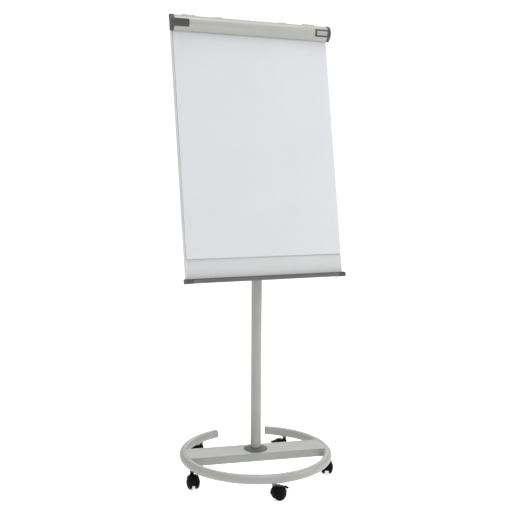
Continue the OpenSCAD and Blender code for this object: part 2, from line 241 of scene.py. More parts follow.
def add(name, shape, material, node, place=BOARD, stands_in=True):
    """Makes a piece that takes over from a CAD node, or that only rides with it."""
    data = shape.mesh(name) if isinstance(shape, Shape) else shape
    piece = bpy.data.objects.new(name, data)
    bpy.context.scene.collection.objects.link(piece)
    piece.matrix_world = place
    if not data.materials:
        data.materials.append(material)
    even = piece.modifiers.new("even_shading", "WEIGHTED_NORMAL")
    even.keep_sharp = True
    even.weight = 80
    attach(piece, body_of[node])
    if stands_in:
        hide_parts(node)


# ---------- materials ----------
class Paint:
    """A node material under construction round one Principled shader."""

    def __init__(self, name, color, roughness, metallic=0.0, **sockets):
        self.material = bpy.data.materials.new(name)
        self.material.use_nodes = True
        self.tree = self.material.node_tree
        self.shader = self.tree.nodes["Principled BSDF"]
        self.color, self.roughness = color, roughness
        self.shader.inputs["Base Color"].default_value = (*color, 1)
        self.shader.inputs["Roughness"].default_value = roughness
        self.shader.inputs["Metallic"].default_value = metallic
        for socket, value in sockets.items():
            self.shader.inputs[socket.replace("_", " ")].default_value = value
        self.where = self.node("ShaderNodeTexCoord").outputs["Object"]
        self.normal = None

    def node(self, kind, inputs=None, **settings):
        made = self.tree.nodes.new(kind)
        for key, value in settings.items():
            setattr(made, key, value)
        for key, value in (inputs or {}).items():
            self.feed(made.inputs[key], value)
        return made

    def feed(self, socket, value):
        """Links another node's output to a socket, or sets a plain value."""
        if isinstance(value, bpy.types.NodeSocket):
            self.tree.links.new(value, socket)
        else:
            socket.default_value = value

    def stretched(self, scale):
        """Object coordinates scaled differently along each axis."""
        return self.node("ShaderNodeMapping", {"Vector": self.where, "Scale": scale}).outputs[0]

    def noise(self, scale, detail=3.0, rough=0.5, where=None, distortion=0.0):
        return self.node("ShaderNodeTexNoise", {
            "Vector": where or self.where, "Scale": scale, "Detail": detail,
            "Roughness": rough, "Distortion": distortion}).outputs["Fac"]

    def cells(self, scale, where=None, feature="F1"):
        inputs = {"Vector": where or self.where, "Scale": scale}
        return self.node("ShaderNodeTexVoronoi", inputs, feature=feature).outputs["Distance"]

    def spread(self, value, low, high, to_low=0.0, to_high=1.0):
        """Maps a range of a value onto another, clamped."""
        return self.node("ShaderNodeMapRange", {
            "Value": value, "From Min": low, "From Max": high,
            "To Min": to_low, "To Max": to_high}).outputs[0]

    def times(self, a, b):
        return self.node("ShaderNodeMath", {0: a, 1: b}, operation="MULTIPLY").outputs[0]

    def toward(self, color, share):
        """Mixes the base colour towards another colour by a share from 0 to 1."""
        now = self.shader.inputs["Base Color"]
        under = now.links[0].from_socket if now.links else tuple(now.default_value)
        mix = self.node("ShaderNodeMix", data_type="RGBA")
        for index, value in ((0, share), (6, under), (7, (*color, 1))):
            self.feed(mix.inputs[index], value)
        self.tree.links.new(mix.outputs[2], now)
        return self

    def shade(self, factor, value, low, high, share=1.0):
        """Mixes towards a lighter or darker base colour as a value rises from low to high."""
        tone = [min(1, c * factor) for c in self.color]
        return self.toward(tone, self.spread(value, low, high, 0.0, share))

    def rough(self, value, low, high):
        """Roughness runs from low to high as a 0 to 1 value rises."""
        self.tree.links.new(self.spread(value, 0.25, 0.75, low, high), self.shader.inputs["Roughness"])
        return self

    def bump(self, height, depth, strength=1.0):
        """Adds relief; depth is in metres."""
        inputs = {"Height": height, "Distance": depth, "Strength": strength}
        if self.normal:
            inputs["Normal"] = self.normal
        self.normal = self.node("ShaderNodeBump", inputs).outputs[0]
        self.tree.links.new(self.normal, self.shader.inputs["Normal"])
        return self

    def worn_edges(self, color, share):
        """Lets edges that stick out look rubbed, broken up by noise."""
        edge = self.node("ShaderNodeNewGeometry").outputs["Pointiness"]
        rubbed = self.spread(edge, 0.54, 0.64, 0.0, share)
        return self.toward(color, self.times(rubbed, self.noise(60, 4)))


def powder_coat(name, color, roughness=0.42):
    """Fine-textured baked powder coat with a slight orange peel."""
    p = Paint(name, color, roughness, Coat_Weight=0.6, Coat_Roughness=0.18)
    p.shade(0.90, p.noise(9, 4), 0.35, 0.75)
    p.toward([c * 1.12 for c in color], p.spread(p.cells(1400), 0.05, 0.45, 0.25, 0.0))
    p.shade(0.72, p.noise(38, 6, 0.7), 0.66, 0.80, 0.35)
    p.rough(p.noise(160, 3), roughness - 0.05, roughness + 0.10)
    p.bump(p.noise(850, 2, 0.6), 0.00006)
    p.bump(p.noise(240, 2), 0.00010)
    p.worn_edges([c * 1.25 for c in color], 0.5)
    return p.material


def moulded(name, color, roughness=0.5, grain=1500, wear=1.6):
    """Injection-moulded plastic with a fine spark-eroded grain."""
    p = Paint(name, color, roughness)
    p.shade(1.18, p.noise(14, 5), 0.4, 0.8, 0.7)
    flecks = p.spread(p.noise(70, 8, 0.75), 0.62, 0.78, 0.0, 0.30)
    p.toward([min(1, c * wear + 0.01) for c in color], flecks)
    p.rough(p.noise(110, 4), roughness - 0.07, roughness + 0.09)
    p.bump(p.cells(grain), 0.00005)
    p.bump(p.noise(grain * 0.5, 3), 0.00004)
    p.worn_edges([min(1, c * wear + 0.02) for c in color], 0.6)
    return p.material


def glossy_black(name, color):
    """Glossy black plastic with faint flow marks, dust and hairline scratches."""
    roughness = 0.26
    p = Paint(name, color, roughness, Specular_IOR_Level=0.07)
    p.shade(2.2, p.noise(26, 7, 0.7), 0.48, 0.80, 0.6)
    hair = p.noise(420, 2, 0.4, p.stretched((1.0, 0.06, 0.35)), 0.4)
    p.toward((0.022, 0.022, 0.022), p.spread(hair, 0.68, 0.76, 0.0, 0.22))
    p.rough(p.noise(75, 6, 0.65), roughness - 0.05, roughness + 0.10)
    p.bump(p.noise(300, 3), 0.00004)
    p.bump(hair, 0.00001)
    p.worn_edges((0.05, 0.05, 0.05), 0.35)
    return p.material


def wheel_nylon(name):
    """Hard black nylon, greyed by dust towards the tread."""
    p = Paint(name, (0.0045, 0.0045, 0.0046), 0.34, Specular_IOR_Level=0.07)
    split = p.node("ShaderNodeSeparateXYZ", {"Vector": p.where})
    round_part = p.node("ShaderNodeCombineXYZ", {"X": split.outputs["X"], "Z": split.outputs["Z"]})
    radius = p.node("ShaderNodeVectorMath", {0: round_part.outputs[0]}, operation="LENGTH").outputs["Value"]
    rim = p.spread(radius, 0.0235, 0.0278)
    p.toward((0.018, 0.0175, 0.016), p.times(rim, p.spread(p.noise(230, 6, 0.7), 0.3, 0.75)))
    rings = p.node("ShaderNodeMath", {0: p.times(radius, 9000.0)}, operation="SINE").outputs[0]
    p.toward((0.011, 0.011, 0.0105), p.spread(p.noise(60, 7, 0.7), 0.5, 0.8, 0.0, 0.5))
    p.rough(p.noise(120, 5), 0.30, 0.52)
    p.bump(rings, 0.000012)
    p.bump(p.noise(500, 3), 0.00005)
    return p.material


def brushed(name, color, scale, roughness=0.36, metallic=0.85):
    """Anodised aluminium with a drawn grain; scale is small along the grain."""
    p = Paint(name, color, roughness, metallic, Anisotropic=0.35)
    along = p.stretched(scale)
    fine, coarse = p.noise(900, 3, 0.6, along), p.noise(160, 4, 0.6, along)
    p.shade(0.88, fine, 0.35, 0.75, 0.6)
    p.shade(1.06, coarse, 0.45, 0.8, 0.5)
    p.shade(0.80, p.noise(11, 6, 0.65), 0.55, 0.85, 0.25)
    p.rough(coarse, roughness - 0.05, roughness + 0.08)
    p.bump(fine, 0.00002)
    p.worn_edges([min(1, c * 1.3) for c in color], 0.5)
    return p.material


def zinc(name, color=(0.60, 0.60, 0.585), roughness=0.30):
    """Zinc plating with a cloudy, faintly yellow and blue cast."""
    p = Paint(name, color, roughness, 1.0)
    for cast, scale, share in (((0.87, 0.93, 1.06), 90, 0.6), ((1.10, 1.03, 0.82), 55, 0.5),
                               ((0.67, 0.67, 0.68), 260, 0.4)):
        cloud = p.spread(p.noise(scale, 5, 0.6), 0.5, 0.78, 0.0, share)
        p.toward([c * f for c, f in zip(color, cast)], cloud)
    p.rough(p.noise(210, 5, 0.7), roughness - 0.08, roughness + 0.12)
    p.bump(p.noise(1100, 2), 0.00002)
    return p.material


def lacquered_sheet(name, color):
    """White-grey stove-lacquered steel sheet: very slight waviness, faint wiped pen haze."""
    p = Paint(name, color, 0.32, Coat_Weight=0.3, Coat_Roughness=0.15)
    p.shade(0.965, p.noise(3.2, 5, 0.6), 0.42, 0.72)
    wiped = p.noise(26, 5, 0.65, p.stretched((0.22, 1.0, 1.0)), 0.6)
    p.toward([c * f for c, f in zip(color, (0.93, 0.94, 0.965))], p.spread(wiped, 0.56, 0.8, 0.0, 0.5))
    p.shade(0.82, p.noise(330, 5, 0.8), 0.72, 0.80, 0.35)
    p.rough(p.noise(45, 5), 0.26, 0.40)
    p.bump(p.noise(700, 2), 0.00002)
    p.bump(p.noise(5, 2), 0.0004)
    return p.material


def embossed_sheet(name, color):
    """Thin stucco-embossed aluminium sheet, as used on the back of such boards."""
    p = Paint(name, color, 0.42, 0.75)
    cell = p.cells(330, p.stretched((1.0, 1.0, 0.8)), "SMOOTH_F1")
    p.shade(0.78, cell, 0.2, 0.75, 0.6)
    p.shade(0.86, p.noise(7, 5, 0.6), 0.45, 0.75)
    p.rough(p.noise(60, 4), 0.36, 0.52)
    p.bump(cell, 0.00035)
    return p.material


def paper(name, color):
    """Uncoated white paper with fibres, faint cockle and slight tone clouds."""
    p = Paint(name, color, 0.82, Specular_IOR_Level=0.25)
    p.shade(0.972, p.noise(4.5, 5, 0.6), 0.40, 0.70)
    fibre = p.noise(1300, 4, 0.7, p.stretched((1.0, 1.0, 0.45)), 1.2)
    p.shade(0.93, fibre, 0.55, 0.75, 0.4)
    p.shade(0.90, p.noise(420, 3, 0.8), 0.73, 0.78, 0.25)
    p.rough(p.noise(120, 3), 0.76, 0.90)
    p.bump(fibre, 0.00003)
    p.bump(p.noise(9, 3, 0.5, p.stretched((1.0, 1.0, 0.5))), 0.0007)
    return p.material


def cardboard(name, color):
    """Grey-brown board with long fibres and flecks."""
    p = Paint(name, color, 0.88)
    fibre = p.noise(380, 6, 0.7, p.stretched((0.3, 1.0, 1.0)), 0.8)
    p.shade(0.72, fibre, 0.45, 0.75, 0.7)
    p.shade(1.35, p.noise(900, 4, 0.8), 0.62, 0.75, 0.6)
    p.rough(p.noise(90), 0.80, 0.95)
    p.bump(fibre, 0.00012)
    return p.material


def tray_lacquer(name, color):
    """Dark grey satin lacquer on an extruded aluminium tray, rubbed by pens."""
    p = Paint(name, color, 0.40, Coat_Weight=0.15, Coat_Roughness=0.25)
    drawn = p.noise(420, 4, 0.6, p.stretched((0.02, 1.0, 1.0)))
    p.shade(1.22, drawn, 0.45, 0.75, 0.6)
    p.shade(0.80, p.noise(12, 5, 0.6), 0.45, 0.8, 0.7)
    p.shade(2.0, p.noise(190, 7, 0.8), 0.66, 0.76, 0.35)
    p.rough(p.noise(80, 5), 0.34, 0.50)
    p.bump(drawn, 0.00003)
    p.bump(p.noise(900, 2), 0.00003)
    p.worn_edges([c * 2.4 for c in color], 0.7)
    return p.material


def rubber(name):
    """Soft black rubber, dusty and finely ribbed along its length."""
    p = Paint(name, (0.028, 0.028, 0.028), 0.7)
    p.toward((0.075, 0.072, 0.068), p.spread(p.noise(60, 6, 0.7), 0.45, 0.8, 0.0, 0.7))
    p.rough(p.noise(200, 4), 0.62, 0.82)
    p.bump(p.noise(800, 3), 0.00012)
    return p.material


def foil_label(name, color):
    """Blank satin foil label."""
    p = Paint(name, color, 0.35, 0.35)
    p.shade(0.88, p.noise(500, 3, 0.6, p.stretched((0.05, 1, 1))), 0.4, 0.7)
    p.shade(0.80, p.noise(90, 5, 0.7), 0.55, 0.8, 0.4)
    p.rough(p.noise(150, 4), 0.30, 0.45)
    p.bump(p.noise(900, 2), 0.00001)
    return p.material


ALONG_X, ALONG_Z = (0.015, 1.0, 1.0), (1.0, 1.0, 0.015)
POWDER = powder_coat("powder_coat_grey", (0.392, 0.402, 0.378))
COVER = moulded("dark_grey_grained_plastic", (0.115, 0.12, 0.11), 0.46)
PLUG = moulded("end_plug_plastic", (0.10, 0.103, 0.098), 0.45)
HEAD = moulded("swivel_head_plastic", (0.085, 0.088, 0.082), 0.48)
BLACK = glossy_black("black_semi_gloss_plastic", (0.0045, 0.0045, 0.0048))
KNOB = moulded("knob_black_plastic", (0.016, 0.016, 0.017), 0.42, 1200, 2.4)
NYLON = wheel_nylon("wheel_black_nylon")
ZINC = zinc("bright_zinc_plating")
STEM = zinc("stem_collar_zinc", (0.17, 0.17, 0.168), 0.38)
FACE = lacquered_sheet("board_white_lacquer", (0.65, 0.66, 0.665))
BACK = embossed_sheet("stucco_aluminium_back", (0.56, 0.57, 0.575))
FRAME_X = brushed("frame_anodised_top", (0.66, 0.67, 0.66), ALONG_X)
FRAME_Z = brushed("frame_anodised_side", (0.74, 0.75, 0.765), ALONG_Z, 0.42, 0.15)
BAR = brushed("clamp_bar_anodised", (0.462, 0.472, 0.434), ALONG_X, 0.46, 0.35)
TRAY = tray_lacquer("tray_dark_lacquer", (0.122, 0.125, 0.116))
CAP = moulded("cap_dark_grey_plastic", (0.060, 0.062, 0.053), 0.44)
LIGHT = moulded("light_grey_plastic", (0.50, 0.505, 0.495), 0.42, 1500, 1.1)
RUBBER = rubber("grip_rubber")
PAPER = paper("paper_white", (0.695, 0.705, 0.735))
EDGES = paper("paper_cut_edges", (0.68, 0.69, 0.71))
BACKING = cardboard("pad_backing_board", (0.42, 0.34, 0.24))
CORE = cardboard("board_core_paper_honeycomb", (0.55, 0.42, 0.26))
LABEL = foil_label("blank_foil_label", (0.42, 0.42, 0.41))


# ---------- base ----------
ring_low, ring_high = extent("ring_tube", BASE)
TUBE_R = (ring_high.z - ring_low.z) / 2
RING_R = (ring_high.x - ring_low.x) / 2 - TUBE_R
RING_Z = (ring_high.z + ring_low.z) / 2
HALF_GAP = 22.8
stem_places = [BASE.inverted() @ place.to_translation() * 1000 for place in CASTORS.values()]


def on_ring(angle, across, up):
    """A point of the ring's tube: angle round the ring in degrees, then place in its section."""
    a, out = radians(angle), RING_R + across
    return Vector((out * cos(a), out * sin(a), RING_Z + up))


def build_ring():
    shape = Shape()
    start, end, steps = 90 + HALF_GAP, 450 - HALF_GAP, 168
    section = arc((0, 0), TUBE_R, 0, 350, 35)
    shape.loft([[on_ring(start + (end - start) * i / steps, a, b) for a, b in section]
                for i in range(steps + 1)])
    socket_r = 9.0
    for place in stem_places:
        turn = Matrix.Rotation(atan2(place.y, place.x), 3, "Z")
        weld = [turn @ Vector((RING_R + dx, dy, RING_Z - sqrt(TUBE_R ** 2 - dx ** 2)))
                for dx, dy in arc((0, 0), socket_r, 0, 350, 35)]
        shape.bead(weld, 1.3, loop=True)
    add("ring_tube_bent", shape, POWDER, "ring_tube", BASE)


def build_end_plugs():
    shape, r = Shape(), TUBE_R
    profile = fillet([(0, -13), (r - 4, -13), (r - 3, 0), (r + 0.3, 0), (r + 0.3, 2.6), (r - 2.5, 3.5),
                      (0, 3.5)], [0, 1, 0.3, 0.4, 0.9, 3, 0], 4, closed=False)
    for side in (-1, 1):
        round_ring = at(0, 0, 0, 90 + side * HALF_GAP, "Z")
        shape.turned(profile, 48, round_ring @ at(RING_R, 0, RING_Z, side * 90))
    add("ring_end_caps", shape, PLUG, "ring_end_plugs", BASE)


beam_low, beam_high = extent("cross_beam", BASE)


def beam_end(y, z):
    """How far the beam's surface runs out before it meets the ring's tube."""
    rise = min(abs(z - RING_Z), TUBE_R)
    inner = RING_R - sqrt(TUBE_R ** 2 - rise ** 2)
    return sqrt(inner ** 2 - y ** 2)


def build_beam():
    shape = Shape()
    corner = 3.2
    section = fillet(rectangle(beam_low.y, beam_high.y, beam_low.z, beam_high.z), corner, 5)
    dense = []
    for (y0, z0), (y1, z1) in zip(section, section[1:] + section[:1]):
        cuts = max(1, round(hypot(y1 - y0, z1 - z0) / 3))
        dense += [(y0 + (y1 - y0) * k / cuts, z0 + (z1 - z0) * k / cuts) for k in range(cuts)]
    stops = [-1.0, -0.985, -0.5, 0.0, 0.5, 0.985, 1.0]
    shape.loft([[(s * beam_end(y, z), y, z) for y, z in dense] for s in stops])
    for side in (-1, 1):
        shape.bead([(side * (beam_end(y, z) - 0.4), y, z) for y, z in dense], 1.7, loop=True)
    add("cross_beam_welded", shape, POWDER, "cross_beam", BASE)


def build_tube(node, name, wall, edge, steps, cuts=1):
    """A plain tube about the column's axis, with rounded ends."""
    low, high = extent(node, WORLD)
    r = high.x
    profile = fillet(rectangle(r - wall, r, low.z, high.z), edge, 3)
    middle = [(r, low.z + (high.z - low.z) * k / cuts) for k in range(1, cuts)]
    split = len(profile) // 2
    shape = Shape().turned(profile[:split] + middle + profile[split:], steps, loop=True)
    add(name, shape, POWDER, node, WORLD)


def build_cover():
    """Low dome over the column's flange, with a rolled rim and a raised neck."""
    low, high = extent("column_cover", WORLD)
    column_r = extent("column_tube", WORLD)[1].x
    dome_r = 95.0
    shape = Shape()
    dome = []
    for k in range(13):
        r = high.x - 1.2 - (high.x - 1.2 - column_r - 4.5) * k / 12
        dome.append((r, high.z - dome_r + sqrt(dome_r ** 2 - r ** 2)))
    inner = [(column_r + 4.0, high.z - 5.0), (high.x - 4, low.z + 0.2)]
    neck = [(column_r + 3.4, high.z - 0.6), (column_r + 0.4, high.z - 0.3), (column_r + 0.4, high.z - 5.0)]
    rim = [(high.x - 3.0, low.z), (high.x - 0.3, low.z), (high.x, low.z + 0.8),
           (high.x - 0.3, dome[0][1] - 0.2)]
    shape.turned(rim + dome + neck + inner, 72, loop=True)
    add("column_foot_cover", shape, COVER, "column_cover", WORLD)


def build_stems():
    low, high = extent("castor_stems", WORLD)
    shape = Shape()
    stem_r, collar_r, socket_z = 5.0, 9.0, ring_low.z - 2
    profile = fillet([(0, low.z), (stem_r - 0.8, low.z), (stem_r, low.z + 1), (stem_r, socket_z - 5.5),
                      (collar_r, socket_z - 5.5), (collar_r, socket_z - 0.3), (stem_r, socket_z - 0.3),
                      (stem_r, high.z - 1), (stem_r - 1, high.z), (0, high.z)],
                     [0, 0.3, 0.3, 0.2, 1.2, 0.8, 0.2, 0.3, 0.3, 0], 3, closed=False)
    nut = [hexagon(collar_r * 0.97, z) for z in (socket_z - 4.9, socket_z - 1.6)]
    for x, y, _ in stem_places:
        shape.turned(profile, 40, at(x, y, 0))
        shape.loft(nut, place=at(x, y, 0))
    add("castor_stems_turned", shape, STEM, "castor_stems", BASE)


# ---------- height clamp and knobs ----------
def star(radius, height, bore, place):
    """Star grip about the z axis: six rounded lobes, a dished top and a hub below."""
    turns = [2 * pi * k / 96 for k in range(96)]

    def ring(r, z, dip=0.0):
        reach = [r * (1 - dip * (0.5 - 0.5 * cos(6 * a)) ** 1.5) for a in turns]
        return [(d * cos(a), d * sin(a), z) for a, d in zip(turns, reach)]

    hub = ((bore, -4), (8.4, -4), (9, -3.4), (9, 0), (12, 0.3))
    lobes = ((0.90, 0.6), (0.965, 1.6), (0.995, 3.4), (1.0, height * 0.5), (0.995, height - 4.2),
             (0.955, height - 2.0), (0.88, height - 0.7), (0.78, height))
    dish = ((11.5, 0.3), (10.2, 1.3), (9.6, 1.3), (9.0, 0.8), (4, 0.4), (0.01, 0.35))
    rings = [ring(r, z) for r, z in hub]
    rings += [ring(radius * share, z, 0.17) for share, z in lobes]
    rings += [ring(r, height - drop) for r, drop in dish]
    return Shape().loft(rings, place=place)


def build_height_clamp():
    bottom, top = (corner.z for corner in extent("clamp_collar", WORLD))
    knob_z = sum(corner.z for corner in extent("height_screw", WORLD)) / 2
    column_r, mast_r = extent("column_tube", WORLD)[1].x, extent("mast_tube", WORLD)[1].x
    collar_r = 27.0
    shape = Shape()
    outer = [(column_r + 0.05, bottom), (collar_r - 1.5, bottom), (collar_r, bottom + 1.5)]
    for k in range(3):
        z = bottom + 5 + k * 3.2
        outer += [(collar_r, z), (collar_r - 0.9, z + 0.6), (collar_r - 0.9, z + 1.6), (collar_r, z + 2.2)]
    outer += [(collar_r, top - 5), (collar_r - 1.2, top - 1.6), (collar_r - 4.5, top), (mast_r + 0.6, top),
              (mast_r + 0.6, top - 9.9), (column_r + 0.05, top - 9.9)]
    shape.turned(outer, 72, loop=True)
    boss = fillet([(4.15, 22), (14, 22), (11, 27.5), (11, 42), (4.15, 42)], [0, 1, 3, 1.2, 0.5], 4)
    shape.turned(boss, 40, at(0, 0, knob_z, -90), loop=True)
    add("height_clamp_collar", shape, BLACK, "clamp_collar", BASE)

    low, high = extent("height_knob", BASE)
    start = low.y + 4
    knob = star(high.x, high.y - start, 4.05, at(0, start, knob_z, -90))
    add("height_knob_star", knob, KNOB, "height_knob", BASE)


# ---------- swivel head, bracket and tilt bolt ----------
PIVOT, _ = joint_place("board_tilt")
pivot_on_board = BOARD.inverted() @ PIVOT * 1000
PIVOT_Z = PIVOT.z * 1000


def build_head():
    low, high = extent("head_block", WORLD)
    lug, r, knuckle = 15.0, high.x, high.z - PIVOT_Z
    shape = Shape()
    bore = 8.1
    disc = fillet([(bore, low.z), (r, low.z), (r, low.z + 17), (bore, low.z + 17)], [0.4, 2, 3, 0.4], 4)
    shape.turned(disc, 64, loop=True)
    side = [(-18.5, low.z + 12), (18.5, low.z + 12)] + arc((0, PIVOT_Z), knuckle, 0, 180, 24)
    shape.merge(Shape().extrude(side, "x", -lug, lug).soften(1.4, 3))
    for x in (-1, 1):
        washer = fillet([(6.1, 0), (12, 0), (12, 0.25), (6.1, 0.25)], 0.08, 2)
        shape.turned(washer, 40, at(x * lug, 0, PIVOT_Z, x * 90, "Y"), loop=True)
    add("swivel_head", shape, HEAD, "head_block", WORLD)


def build_bracket():
    low, high = extent("hinge_bracket", BOARD)
    middle, out = pivot_on_board.z, pivot_on_board.y
    outline = fillet(rectangle(low.x, high.x, low.z, high.z), 9, 6)
    shape = Shape().extrude(outline, "y", low.y, low.y + 3).soften(0.7, 2)
    inner, thick = 15.3, 4.0
    foot, top = middle - 25.5, middle + 34
    cheek = [(low.y + 2.5, foot), *arc((out, middle), 16, -72, 72, 18), (low.y + 2.5, top)]
    for side in (-1, 1):
        shape.merge(Shape().extrude(cheek, "x", side * inner, side * (inner + thick)).soften(0.6, 2))
        for face in (inner, inner + thick):
            seam = [(side * face, low.y + 3.3, foot + 3 + (top - foot - 5) * k / 24) for k in range(25)]
            shape.bead(seam, 1.5)
    add("hinge_bracket_pressed", shape, POWDER, "hinge_bracket")

    screws = Shape()
    screw = [(0, -10), (2.4, -10), (2.4, 0), (5, 0), (5, 0.8), (4.4, 1.8), (3.2, 2.35), (1.8, 2.4),
             (1.5, 1.2), (0, 1.2)]
    for x in (-48, 48):
        for z in (-46, 46):
            screws.turned(screw, 32, at(x, low.y + 3, middle + z, -90))
    add("bracket_screws_pan_head", screws, ZINC, "bracket_screws")

    head, end = (corner.x for corner in extent("tilt_bolt", BOARD))
    place = at(0, out, middle, 90, "Y")
    shank = fillet([(0, head + 1), (6, head + 1), (6, end - 1), (5, end), (0, end)], 0.2, 2, closed=False)
    bolt = Shape().turned(shank, 40, place)
    head_r, head_h = 10.0, 5.0
    bolt.loft([hexagon(head_r * share, head + z) for z, share in ((0, 0.90), (0.7, 1.0), (head_h, 1.0))],
              place=place)
    add("tilt_bolt_hex", bolt, ZINC, "tilt_bolt")

    low, high = extent("tilt_knob", BOARD)
    start = low.x + 4
    knob = star((high.z - low.z) / 2, high.x - start, 6.1, at(start, out, middle, 90, "Y"))
    add("tilt_knob_star", knob, KNOB, "tilt_knob")


# ---------- board ----------
def sheet_of_metal(node, wave, front):
    """A thin sheet with a very slight waviness on its outer side, which is -y if front."""
    low, high = extent(node, BOARD)
    columns, rows = 28, 44
    flat_y, seed = (high.y, 3.1) if front else (low.y, 8.7)
    rings = []
    for j in range(rows + 1):
        z = low.z + (high.z - low.z) * j / rows
        edge_z = min(1.0, 6 * min(j, rows - j) / rows)
        line = []
        for i in range(columns + 1):
            x = low.x + (high.x - low.x) * i / columns
            edge = edge_z * min(1.0, 6 * min(i, columns - i) / columns)
            dent = wave * edge * (0.5 + 0.5 * noise.noise(Vector((x * 0.006, z * 0.005, seed))))
            line.append((x, low.y + dent if front else high.y - dent, z))
        rings.append(line + [(x, flat_y, z) for x, _, z in reversed(line)])
    return Shape().loft(rings)


def build_panel():
    add("board_face_lacquered", sheet_of_metal("face_sheet", 0.12, True), FACE, "face_sheet")
    add("board_back_embossed", sheet_of_metal("back_sheet", 0.25, False), BACK, "back_sheet")


def build_frames():
    """Side channels that wrap the panel's edges, and the flat strip along its top."""
    low, high = extent("side_frames", BOARD)
    thick = high.x - extent("face_sheet", BOARD)[1].x
    beside_pad = extent("paper_pad", BOARD)[1].x + 0.1
    y0, y1, x0, x1 = low.y, high.y, beside_pad, high.x
    outline = [(x0, y0), (x1, y0), (x1, y1), (x0, y1), (x0, y1 - thick), (x1 - thick, y1 - thick),
               (x1 - thick, y0 + thick), (x0, y0 + thick)]
    profile = fillet(outline, [0.5, 1.3, 1.3, 0.5, 0.3, 0.2, 0.2, 0.3], 4)
    shape = Shape()
    for side in (-1, 1):
        shape.extrude([(side * x, y) for x, y in profile], "z", low.z, high.z, cuts=4)
    add("side_frames_anodised", shape, FRAME_Z, "side_frames")

    low, high = extent("top_frame", BOARD)
    strip = fillet(rectangle(low.y, high.y, low.z, high.z), [0.2, 0.2, 0.6, 0.6], 3)
    top = Shape().extrude(strip, "x", low.x, high.x, cuts=4).soften(0.3, 2)
    add("top_frame_anodised", top, FRAME_X, "top_frame")


def build_tray():
    low, high = extent("pen_tray", BOARD)
    wall, front, back_lip, ledge = 1.6, 14.0, 18.0, high.z
    y0, y1 = low.y, high.y
    shelf = -2.8
    outline = [(y0, low.z), (y1, low.z), (y1, back_lip), (y1 - wall, back_lip), (y1 - wall, wall),
               (shelf + wall, wall), (shelf + wall, ledge), (shelf, ledge), (shelf, wall), (y0 + wall, wall),
               (y0 + wall, front), (y0, front)]
    radii = [4.2, 1.2, 0.5, 0.5, 0.3, 0.2, 0.5, 0.5, 1.2, 2.6, 0.78, 0.78]
    shape = Shape()
    shape.extrude(fillet(outline, radii, 5), "x", low.x, high.x, cuts=6)
    add("pen_tray_extruded", shape, TRAY, "pen_tray")

    cap_low, cap_high = extent("tray_caps", BOARD)
    skin, length = 0.8, 27.0
    caps = Shape()
    for side in (-1, 1):
        end = fillet([(cap_low.y, cap_low.z), (cap_high.y, cap_low.z), (cap_high.y, cap_high.z),
                      (cap_low.y + 13, cap_high.z), (cap_low.y, front + 0.6)], [4.6, 2, 2, 6, 3], 5)
        caps.merge(Shape().extrude(end, "x", side * high.x, side * cap_high.x).soften(0.8, 3))
        sleeve = fillet([(cap_low.y, front + skin), (cap_low.y, cap_low.z), (cap_high.y, cap_low.z),
                         (cap_high.y, low.z), (y0, low.z), (y0, front + skin)],
                        [0.3, 4.9, 0.3, 0.3, 4.1, 0.3], 5)
        caps.extrude(sleeve, "x", side * high.x, side * (high.x - length))
    add("tray_caps_moulded", caps, CAP, "tray_caps")


def build_pad():
    """A pad of loose leaves on its backing board; the top leaf lifts a little at its lower corners."""
    low, high = extent("pad_backing", BOARD)
    backing = Shape().extrude(fillet(rectangle(low.x, high.x, low.z, high.z), 1.5, 3), "y", low.y, high.y)
    add("pad_backing_board_sheet", backing, BACKING, "pad_backing")

    low, high = extent("paper_pad", BOARD)
    leaves = 20
    thick = (high.y - low.y) / leaves
    stack = Shape()
    for n in range(1, leaves):
        shift_x = 0.2 * noise.noise(Vector((n * 0.73, 1.7, 0)))
        shift_z = 0.55 * noise.noise(Vector((n * 0.61, 5.2, 0)))
        y = low.y + n * thick
        leaf = rectangle(low.x + 0.2 + shift_x, high.x - 0.2 + shift_x, low.z + 0.6 + shift_z, high.z - 0.5)
        stack.extrude(leaf, "y", y + 0.01, y + thick * 0.93)
    add("paper_pad_leaves", stack, EDGES, "paper_pad")

    top = Shape()
    columns, rows = 34, 56
    rings = []
    for j in range(rows + 1):
        v = j / rows
        z = low.z + (high.z - low.z) * v ** 1.25
        front, back = [], []
        for i in range(columns + 1):
            u = i / columns
            x = low.x + (high.x - low.x) * u
            corner = max(abs(2 * u - 1) - 0.45, 0) ** 2 * exp(-v * 26) * 7.0
            cockle = 0.5 + 0.5 * noise.noise(Vector((x * 0.011, z * 0.004, 0.4)))
            y = low.y - corner - 0.35 * cockle * exp(-v * 5)
            front.append((x, y, z))
            back.append((x, y + thick * 0.8, z))
        rings.append(front + back[::-1])
    top.loft(rings)
    add("paper_pad_top_leaf", top, PAPER, "paper_pad", stands_in=False)


# ---------- hinge blocks, rail and hooks ----------
BAR_AXIS = BOARD.inverted() @ joint_place("clamp_bar_lift")[0] * 1000


